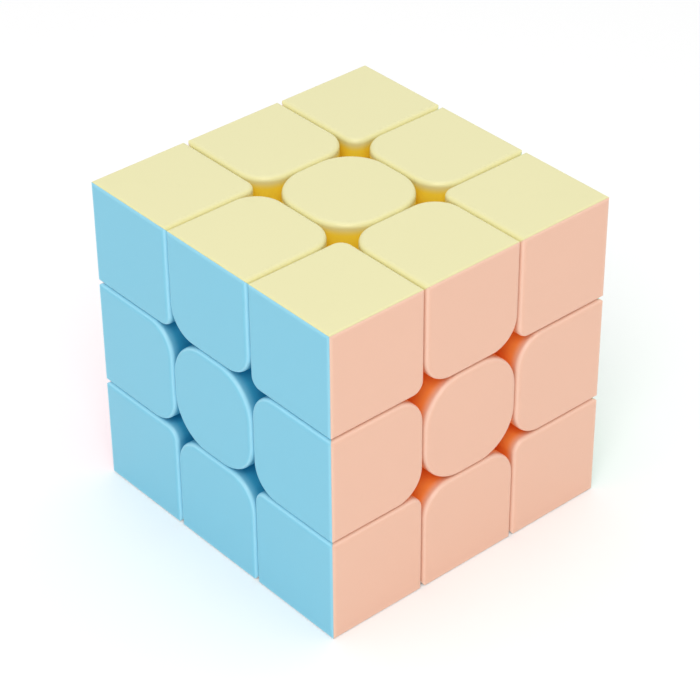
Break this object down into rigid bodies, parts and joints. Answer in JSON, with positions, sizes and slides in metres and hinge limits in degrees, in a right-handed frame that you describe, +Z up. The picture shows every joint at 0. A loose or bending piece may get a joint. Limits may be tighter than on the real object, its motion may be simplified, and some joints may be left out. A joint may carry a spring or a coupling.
{
  "type": "3x3x3 cube puzzle",
  "caption": "Stickerless pastel cube puzzle with turning layers, centres and edge pieces with strongly rounded inner corners, and a sprung core.",
  "frame": {"origin": "middle of the cube, where the six layer axes meet", "axes": "+Z up out of the top (pale yellow) face, -Y out of the front (light blue) face, +X out of the right (peach) face"},
  "size_m": [0.056, 0.056, 0.056],
  "materials": {
    "core": "satin",
    "screw": "satin",
    "spring": "satin",
    "top": "satin",
    "bottom": "satin",
    "front": "satin",
    "back": "satin",
    "left": "satin",
    "right": "satin"
  },
  "bodies": {
    "core": {"core_spider": "core", "centre_screws": "screw", "tension_springs": "spring", "screw_washers": "screw"},
    "top_centre": {"centre_top": "top"},
    "bottom_centre": {"centre_bottom": "bottom"},
    "front_centre": {"centre_front": "front"},
    "back_centre": {"centre_back": "back"},
    "left_centre": {"centre_left": "left"},
    "right_centre": {"centre_right": "right"},
    "edge_top_front": {"edge_top_front_top_half": "top", "edge_top_front_front_half": "front"},
    "edge_top_back": {"edge_top_back_top_half": "top", "edge_top_back_back_half": "back"},
    "edge_top_right": {"edge_top_right_top_half": "top", "edge_top_right_right_half": "right"},
    "edge_top_left": {"edge_top_left_top_half": "top", "edge_top_left_left_half": "left"},
    "edge_bottom_front": {"edge_bottom_front_bottom_half": "bottom", "edge_bottom_front_front_half": "front"},
    "edge_bottom_back": {"edge_bottom_back_bottom_half": "bottom", "edge_bottom_back_back_half": "back"},
    "edge_bottom_right": {"edge_bottom_right_bottom_half": "bottom", "edge_bottom_right_right_half": "right"},
    "edge_bottom_left": {"edge_bottom_left_bottom_half": "bottom", "edge_bottom_left_left_half": "left"},
    "edge_front_right": {"edge_front_right_front_half": "front", "edge_front_right_right_half": "right"},
    "edge_front_left": {"edge_front_left_front_half": "front", "edge_front_left_left_half": "left"},
    "edge_back_right": {"edge_back_right_back_half": "back", "edge_back_right_right_half": "right"},
    "edge_back_left": {"edge_back_left_back_half": "back", "edge_back_left_left_half": "left"},
    "corner_top_front_right": {"corner_top_front_right_top_third": "top", "corner_top_front_right_front_third": "front", "corner_top_front_right_right_third": "right"},
    "corner_top_front_left": {"corner_top_front_left_top_third": "top", "corner_top_front_left_front_third": "front", "corner_top_front_left_left_third": "left"},
    "corner_top_back_right": {"corner_top_back_right_top_third": "top", "corner_top_back_right_back_third": "back", "corner_top_back_right_right_third": "right"},
    "corner_top_back_left": {"corner_top_back_left_top_third": "top", "corner_top_back_left_back_third": "back", "corner_top_back_left_left_third": "left"},
    "corner_bottom_front_right": {"corner_bottom_front_right_bottom_third": "bottom", "corner_bottom_front_right_front_third": "front", "corner_bottom_front_right_right_third": "right"},
    "corner_bottom_front_left": {"corner_bottom_front_left_bottom_third": "bottom", "corner_bottom_front_left_front_third": "front", "corner_bottom_front_left_left_third": "left"},
    "corner_bottom_back_right": {"corner_bottom_back_right_bottom_third": "bottom", "corner_bottom_back_right_back_third": "back", "corner_bottom_back_right_right_third": "right"},
    "corner_bottom_back_left": {"corner_bottom_back_left_bottom_third": "bottom", "corner_bottom_back_left_back_third": "back", "corner_bottom_back_left_left_third": "left"}
  },
  "joints": [
    {"name": "top_turn", "type": "hinge", "parent": "core", "child": "top_centre", "pos_m": [0, 0, 0], "axis": [0, 0, 1], "continuous": true},
    {"name": "bottom_turn", "type": "hinge", "parent": "core", "child": "bottom_centre", "pos_m": [0, 0, 0], "axis": [0, 0, -1], "continuous": true},
    {"name": "front_turn", "type": "hinge", "parent": "core", "child": "front_centre", "pos_m": [0, 0, 0], "axis": [0, -1, 0], "continuous": true},
    {"name": "back_turn", "type": "hinge", "parent": "core", "child": "back_centre", "pos_m": [0, 0, 0], "axis": [0, 1, 0], "continuous": true},
    {"name": "left_turn", "type": "hinge", "parent": "core", "child": "left_centre", "pos_m": [0, 0, 0], "axis": [-1, 0, 0], "continuous": true},
    {"name": "right_turn", "type": "hinge", "parent": "core", "child": "right_centre", "pos_m": [0, 0, 0], "axis": [1, 0, 0], "continuous": true},
    {"name": "edge_top_front_with_front_layer", "type": "hinge", "parent": "top_centre", "child": "edge_top_front", "pos_m": [0, 0, 0], "axis": [0, -1, 0], "continuous": true},
    {"name": "edge_top_back_with_back_layer", "type": "hinge", "parent": "top_centre", "child": "edge_top_back", "pos_m": [0, 0, 0], "axis": [0, 1, 0], "continuous": true},
    {"name": "edge_top_right_with_right_layer", "type": "hinge", "parent": "top_centre", "child": "edge_top_right", "pos_m": [0, 0, 0], "axis": [1, 0, 0], "continuous": true},
    {"name": "edge_top_left_with_left_layer", "type": "hinge", "parent": "top_centre", "child": "edge_top_left", "pos_m": [0, 0, 0], "axis": [-1, 0, 0], "continuous": true},
    {"name": "edge_bottom_front_with_bottom_layer", "type": "hinge", "parent": "front_centre", "child": "edge_bottom_front", "pos_m": [0, 0, 0], "axis": [0, 0, -1], "continuous": true},
    {"name": "edge_bottom_back_with_bottom_layer", "type": "hinge", "parent": "back_centre", "child": "edge_bottom_back", "pos_m": [0, 0, 0], "axis": [0, 0, -1], "continuous": true},
    {"name": "edge_bottom_right_with_bottom_layer", "type": "hinge", "parent": "right_centre", "child": "edge_bottom_right", "pos_m": [0, 0, 0], "axis": [0, 0, -1], "continuous": true},
    {"name": "edge_bottom_left_with_bottom_layer", "type": "hinge", "parent": "left_centre", "child": "edge_bottom_left", "pos_m": [0, 0, 0], "axis": [0, 0, -1], "continuous": true},
    {"name": "edge_front_right_with_right_layer", "type": "hinge", "parent": "front_centre", "child": "edge_front_right", "pos_m": [0, 0, 0], "axis": [1, 0, 0], "continuous": true},
    {"name": "edge_front_left_with_front_layer", "type": "hinge", "parent": "left_centre", "child": "edge_front_left", "pos_m": [0, 0, 0], "axis": [0, -1, 0], "continuous": true},
    {"name": "edge_back_right_with_back_layer", "type": "hinge", "parent": "right_centre", "child": "edge_back_right", "pos_m": [0, 0, 0], "axis": [0, 1, 0], "continuous": true},
    {"name": "edge_back_left_with_left_layer", "type": "hinge", "parent": "back_centre", "child": "edge_back_left", "pos_m": [0, 0, 0], "axis": [-1, 0, 0], "continuous": true},
    {"name": "corner_top_front_right_with_top_layer", "type": "hinge", "parent": "edge_front_right", "child": "corner_top_front_right", "pos_m": [0, 0, 0], "axis": [0, 0, 1], "continuous": true},
    {"name": "corner_top_front_left_with_top_layer", "type": "hinge", "parent": "edge_front_left", "child": "corner_top_front_left", "pos_m": [0, 0, 0], "axis": [0, 0, 1], "continuous": true},
    {"name": "corner_top_back_right_with_top_layer", "type": "hinge", "parent": "edge_back_right", "child": "corner_top_back_right", "pos_m": [0, 0, 0], "axis": [0, 0, 1], "continuous": true},
    {"name": "corner_top_back_left_with_top_layer", "type": "hinge", "parent": "edge_back_left", "child": "corner_top_back_left", "pos_m": [0, 0, 0], "axis": [0, 0, 1], "continuous": true},
    {"name": "corner_bottom_front_right_with_bottom_layer", "type": "hinge", "parent": "edge_front_right", "child": "corner_bottom_front_right", "pos_m": [0, 0, 0], "axis": [0, 0, -1], "continuous": true},
    {"name": "corner_bottom_front_left_with_bottom_layer", "type": "hinge", "parent": "edge_front_left", "child": "corner_bottom_front_left", "pos_m": [0, 0, 0], "axis": [0, 0, -1], "continuous": true},
    {"name": "corner_bottom_back_right_with_bottom_layer", "type": "hinge", "parent": "edge_back_right", "child": "corner_bottom_back_right", "pos_m": [0, 0, 0], "axis": [0, 0, -1], "continuous": true},
    {"name": "corner_bottom_back_left_with_bottom_layer", "type": "hinge", "parent": "edge_back_left", "child": "corner_bottom_back_left", "pos_m": [0, 0, 0], "axis": [0, 0, -1], "continuous": true}
  ],
  "couplings": [
    {"joint": "edge_top_front_with_front_layer", "follows": "front_turn", "ratio": 1},
    {"joint": "edge_top_back_with_back_layer", "follows": "back_turn", "ratio": 1},
    {"joint": "edge_top_right_with_right_layer", "follows": "right_turn", "ratio": 1},
    {"joint": "edge_top_left_with_left_layer", "follows": "left_turn", "ratio": 1},
    {"joint": "edge_bottom_front_with_bottom_layer", "follows": "bottom_turn", "ratio": 1},
    {"joint": "edge_bottom_back_with_bottom_layer", "follows": "bottom_turn", "ratio": 1},
    {"joint": "edge_bottom_right_with_bottom_layer", "follows": "bottom_turn", "ratio": 1},
    {"joint": "edge_bottom_left_with_bottom_layer", "follows": "bottom_turn", "ratio": 1},
    {"joint": "edge_front_right_with_right_layer", "follows": "right_turn", "ratio": 1},
    {"joint": "edge_front_left_with_front_layer", "follows": "front_turn", "ratio": 1},
    {"joint": "edge_back_right_with_back_layer", "follows": "back_turn", "ratio": 1},
    {"joint": "edge_back_left_with_left_layer", "follows": "left_turn", "ratio": 1},
    {"joint": "corner_top_front_right_with_top_layer", "follows": "top_turn", "ratio": 1},
    {"joint": "corner_top_front_left_with_top_layer", "follows": "top_turn", "ratio": 1},
    {"joint": "corner_top_back_right_with_top_layer", "follows": "top_turn", "ratio": 1},
    {"joint": "corner_top_back_left_with_top_layer", "follows": "top_turn", "ratio": 1},
    {"joint": "corner_bottom_front_right_with_bottom_layer", "follows": "bottom_turn", "ratio": 1},
    {"joint": "corner_bottom_front_left_with_bottom_layer", "follows": "bottom_turn", "ratio": 1},
    {"joint": "corner_bottom_back_right_with_bottom_layer", "follows": "bottom_turn", "ratio": 1},
    {"joint": "corner_bottom_back_left_with_bottom_layer", "follows": "bottom_turn", "ratio": 1}
  ]
}
